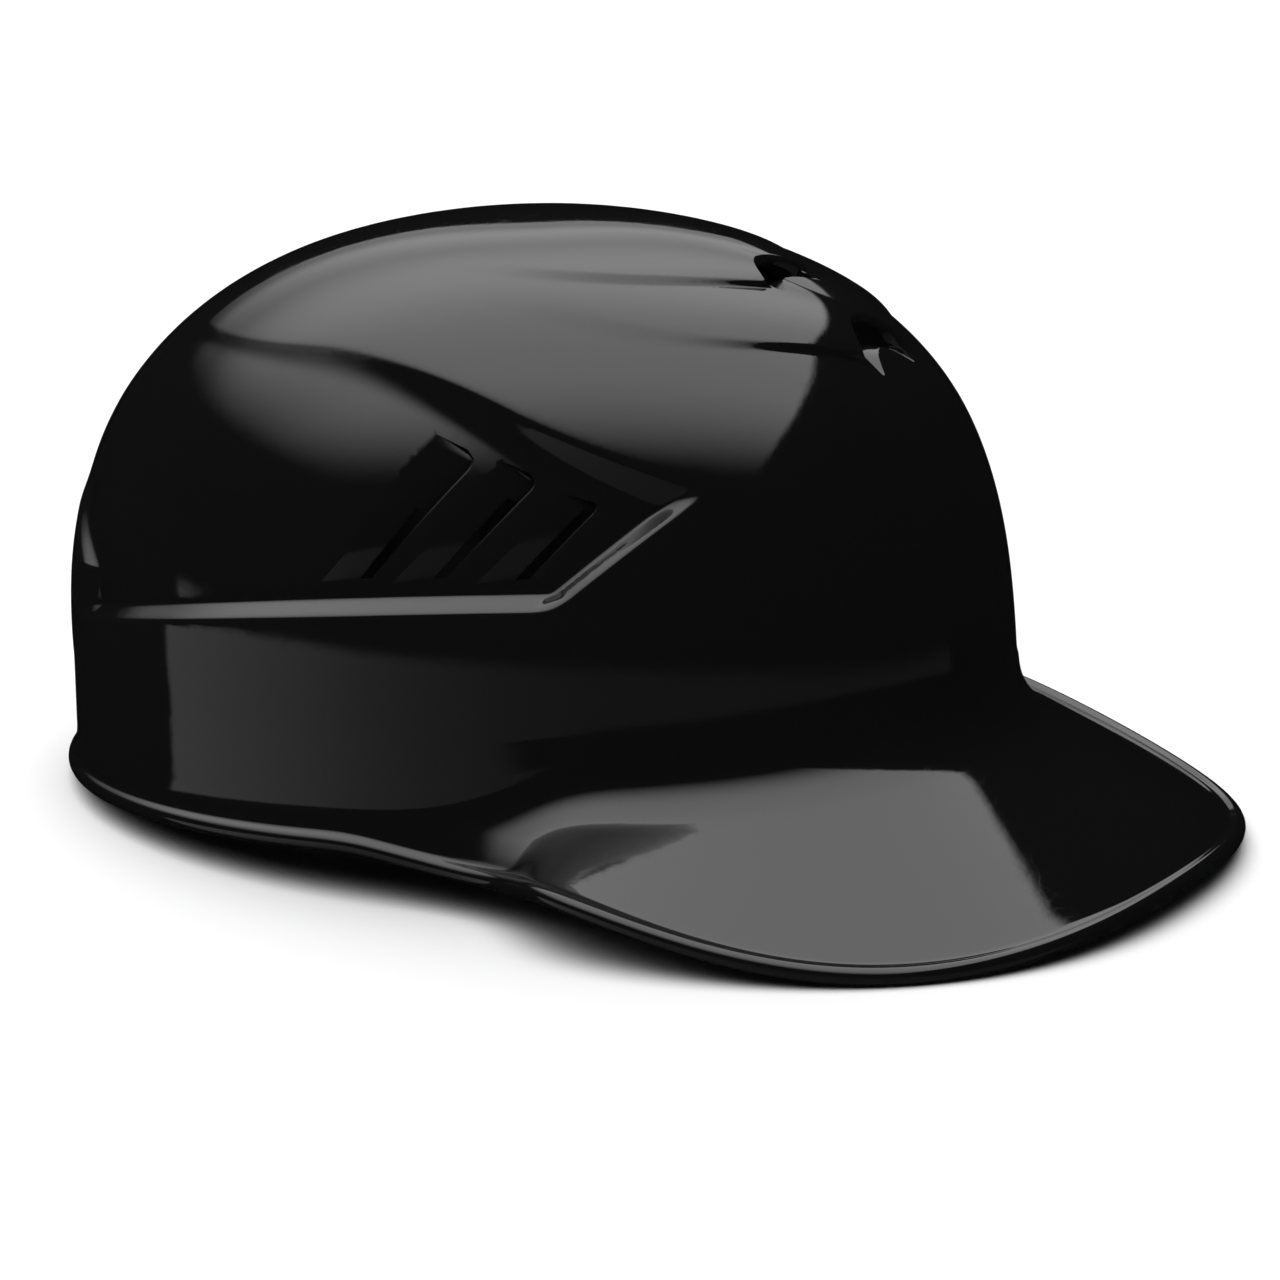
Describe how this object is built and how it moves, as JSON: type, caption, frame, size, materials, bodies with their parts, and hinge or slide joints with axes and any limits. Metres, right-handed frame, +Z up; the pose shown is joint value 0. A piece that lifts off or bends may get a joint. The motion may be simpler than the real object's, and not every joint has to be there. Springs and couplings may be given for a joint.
{
  "type": "batting helmet",
  "caption": "Skull-cap batting helmet: a glossy moulded shell with brim, side louvres and crown scoops, over foam blocks and fabric comfort pads",
  "frame": {"origin": "on the ground plane under the middle of the helmet, as it stands on its nape and brim", "axes": "+X the wearer's front (brim), +Y the wearer's left, +Z up"},
  "size_m": [0.303, 0.2132, 0.1466],
  "materials": {
    "shell": "moulded ABS, polished black",
    "impact_foam": "closed-cell foam, matt charcoal",
    "comfort_fabric": "brushed knit fabric over soft foam",
    "hook_disc": "moulded nylon hook disc"
  },
  "bodies": {
    "root": {"shell": "shell", "foam_front": "impact_foam", "foam_right": "impact_foam", "foam_left": "impact_foam", "foam_rear": "impact_foam", "foam_upper_right": "impact_foam", "foam_upper_left": "impact_foam", "foam_upper_rear": "impact_foam", "foam_crown": "impact_foam", "pad_front": "comfort_fabric", "pad_right": "comfort_fabric", "pad_left": "comfort_fabric", "pad_rear": "comfort_fabric", "pad_upper_right": "comfort_fabric", "pad_upper_left": "comfort_fabric", "pad_upper_rear": "comfort_fabric", "pad_crown": "comfort_fabric", "disc_front_right": "hook_disc", "disc_front_left": "hook_disc", "disc_side_right_front": "hook_disc", "disc_side_right_rear": "hook_disc", "disc_side_left_front": "hook_disc", "disc_side_left_rear": "hook_disc", "disc_rear_right": "hook_disc", "disc_rear_left": "hook_disc", "disc_upper_right": "hook_disc", "disc_upper_left": "hook_disc", "disc_upper_rear": "hook_disc", "disc_crown": "hook_disc"}
  },
  "joints": []
}
